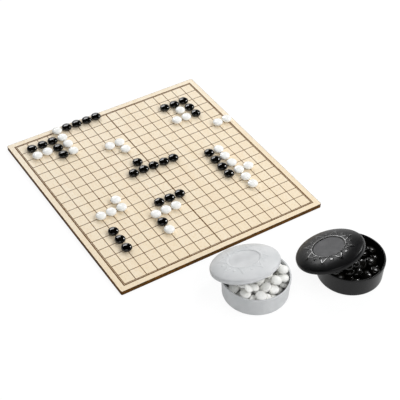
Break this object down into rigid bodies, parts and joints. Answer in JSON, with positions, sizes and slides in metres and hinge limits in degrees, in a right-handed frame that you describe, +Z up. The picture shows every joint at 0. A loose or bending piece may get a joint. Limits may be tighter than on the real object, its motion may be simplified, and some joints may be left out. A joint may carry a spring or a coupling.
{
  "type": "go game set",
  "caption": "Flat wooden go board with a printed grid, lens-shaped black and white stones in play, and round plastic tubs of stones with leaning lids.",
  "frame": {"origin": "centre of the board's underside, on the table", "axes": "+X along the board's front edge to the right, +Y towards the board's back, +Z up"},
  "size_m": [0.4251, 0.6742, 0.083],
  "materials": {
    "fibreboard": "matte fibreboard core",
    "edge_band": "dark brown stained edge, satin",
    "veneer": "pale fine-grained veneer under satin lacquer, with printed lines on the playing side",
    "black_plastic": "gloss black",
    "white_plastic": "satin light grey-white",
    "black_stone": "polished black",
    "white_stone": "polished white"
  },
  "bodies": {
    "board": {"board_core": "fibreboard", "board_edge_band": "edge_band", "playing_veneer": "veneer", "backing_veneer": "veneer"},
    "black_stones_back_edge": {"black_stones_back_edge": "black_stone"},
    "black_stones_back_left": {"black_stones_back_left": "black_stone"},
    "black_stones_back_right": {"black_stones_back_right": "black_stone"},
    "black_stones_centre": {"black_stones_centre": "black_stone"},
    "black_stones_right_side": {"black_stones_right_side": "black_stone"},
    "black_stones_front_centre": {"black_stones_front_centre": "black_stone"},
    "black_stone_front_single": {"black_stone_front_single": "black_stone"},
    "black_stones_front_left": {"black_stones_front_left": "black_stone"},
    "white_stones_back_edge": {"white_stones_back_edge": "white_stone"},
    "white_stones_back_left": {"white_stones_back_left": "white_stone"},
    "white_stones_back_centre": {"white_stones_back_centre": "white_stone"},
    "white_stones_back_right": {"white_stones_back_right": "white_stone"},
    "white_stones_right_edge": {"white_stones_right_edge": "white_stone"},
    "white_stones_right_side": {"white_stones_right_side": "white_stone"},
    "white_stones_left_side": {"white_stones_left_side": "white_stone"},
    "white_stones_front_centre": {"white_stones_front_centre": "white_stone"},
    "white_stone_front_single": {"white_stone_front_single": "white_stone"},
    "black_tub": {"black_tub": "black_plastic"},
    "black_heap": {"black_stones_in_tub": "black_stone"},
    "black_lid": {"black_lid": "black_plastic"},
    "white_tub": {"white_tub": "white_plastic"},
    "white_heap": {"white_stones_in_tub": "white_stone"},
    "white_lid": {"white_lid": "white_plastic"}
  },
  "joints": [
    {"name": "black_stones_back_edge_lift", "type": "slide", "parent": "board", "child": "black_stones_back_edge", "axis": [0, 0, 1], "range_m": [0, 0.05]},
    {"name": "black_stones_back_left_lift", "type": "slide", "parent": "board", "child": "black_stones_back_left", "axis": [0, 0, 1], "range_m": [0, 0.05]},
    {"name": "black_stones_back_right_lift", "type": "slide", "parent": "board", "child": "black_stones_back_right", "axis": [0, 0, 1], "range_m": [0, 0.05]},
    {"name": "black_stones_centre_lift", "type": "slide", "parent": "board", "child": "black_stones_centre", "axis": [0, 0, 1], "range_m": [0, 0.05]},
    {"name": "black_stones_right_side_lift", "type": "slide", "parent": "board", "child": "black_stones_right_side", "axis": [0, 0, 1], "range_m": [0, 0.05]},
    {"name": "black_stones_front_centre_lift", "type": "slide", "parent": "board", "child": "black_stones_front_centre", "axis": [0, 0, 1], "range_m": [0, 0.05]},
    {"name": "black_stone_front_single_lift", "type": "slide", "parent": "board", "child": "black_stone_front_single", "axis": [0, 0, 1], "range_m": [0, 0.05]},
    {"name": "black_stones_front_left_lift", "type": "slide", "parent": "board", "child": "black_stones_front_left", "axis": [0, 0, 1], "range_m": [0, 0.05]},
    {"name": "white_stones_back_edge_lift", "type": "slide", "parent": "board", "child": "white_stones_back_edge", "axis": [0, 0, 1], "range_m": [0, 0.05]},
    {"name": "white_stones_back_left_lift", "type": "slide", "parent": "board", "child": "white_stones_back_left", "axis": [0, 0, 1], "range_m": [0, 0.05]},
    {"name": "white_stones_back_centre_lift", "type": "slide", "parent": "board", "child": "white_stones_back_centre", "axis": [0, 0, 1], "range_m": [0, 0.05]},
    {"name": "white_stones_back_right_lift", "type": "slide", "parent": "board", "child": "white_stones_back_right", "axis": [0, 0, 1], "range_m": [0, 0.05]},
    {"name": "white_stones_right_edge_lift", "type": "slide", "parent": "board", "child": "white_stones_right_edge", "axis": [0, 0, 1], "range_m": [0, 0.05]},
    {"name": "white_stones_right_side_lift", "type": "slide", "parent": "board", "child": "white_stones_right_side", "axis": [0, 0, 1], "range_m": [0, 0.05]},
    {"name": "white_stones_left_side_lift", "type": "slide", "parent": "board", "child": "white_stones_left_side", "axis": [0, 0, 1], "range_m": [0, 0.05]},
    {"name": "white_stones_front_centre_lift", "type": "slide", "parent": "board", "child": "white_stones_front_centre", "axis": [0, 0, 1], "range_m": [0, 0.05]},
    {"name": "white_stone_front_single_lift", "type": "slide", "parent": "board", "child": "white_stone_front_single", "axis": [0, 0, 1], "range_m": [0, 0.05]},
    {"name": "black_tub_lift", "type": "slide", "parent": "board", "child": "black_tub", "axis": [0, 0, 1], "range_m": [0, 0.1]},
    {"name": "black_heap_lift", "type": "slide", "parent": "black_tub", "child": "black_heap", "axis": [0, 0, 1], "range_m": [0, 0.06]},
    {"name": "black_lid_lift", "type": "slide", "parent": "black_heap", "child": "black_lid", "axis": [0, 0, 1], "range_m": [0, 0.06]},
    {"name": "white_tub_lift", "type": "slide", "parent": "board", "child": "white_tub", "axis": [0, 0, 1], "range_m": [0, 0.1]},
    {"name": "white_heap_lift", "type": "slide", "parent": "white_tub", "child": "white_heap", "axis": [0, 0, 1], "range_m": [0, 0.06]},
    {"name": "white_lid_lift", "type": "slide", "parent": "white_heap", "child": "white_lid", "axis": [0, 0, 1], "range_m": [0, 0.06]}
  ]
}
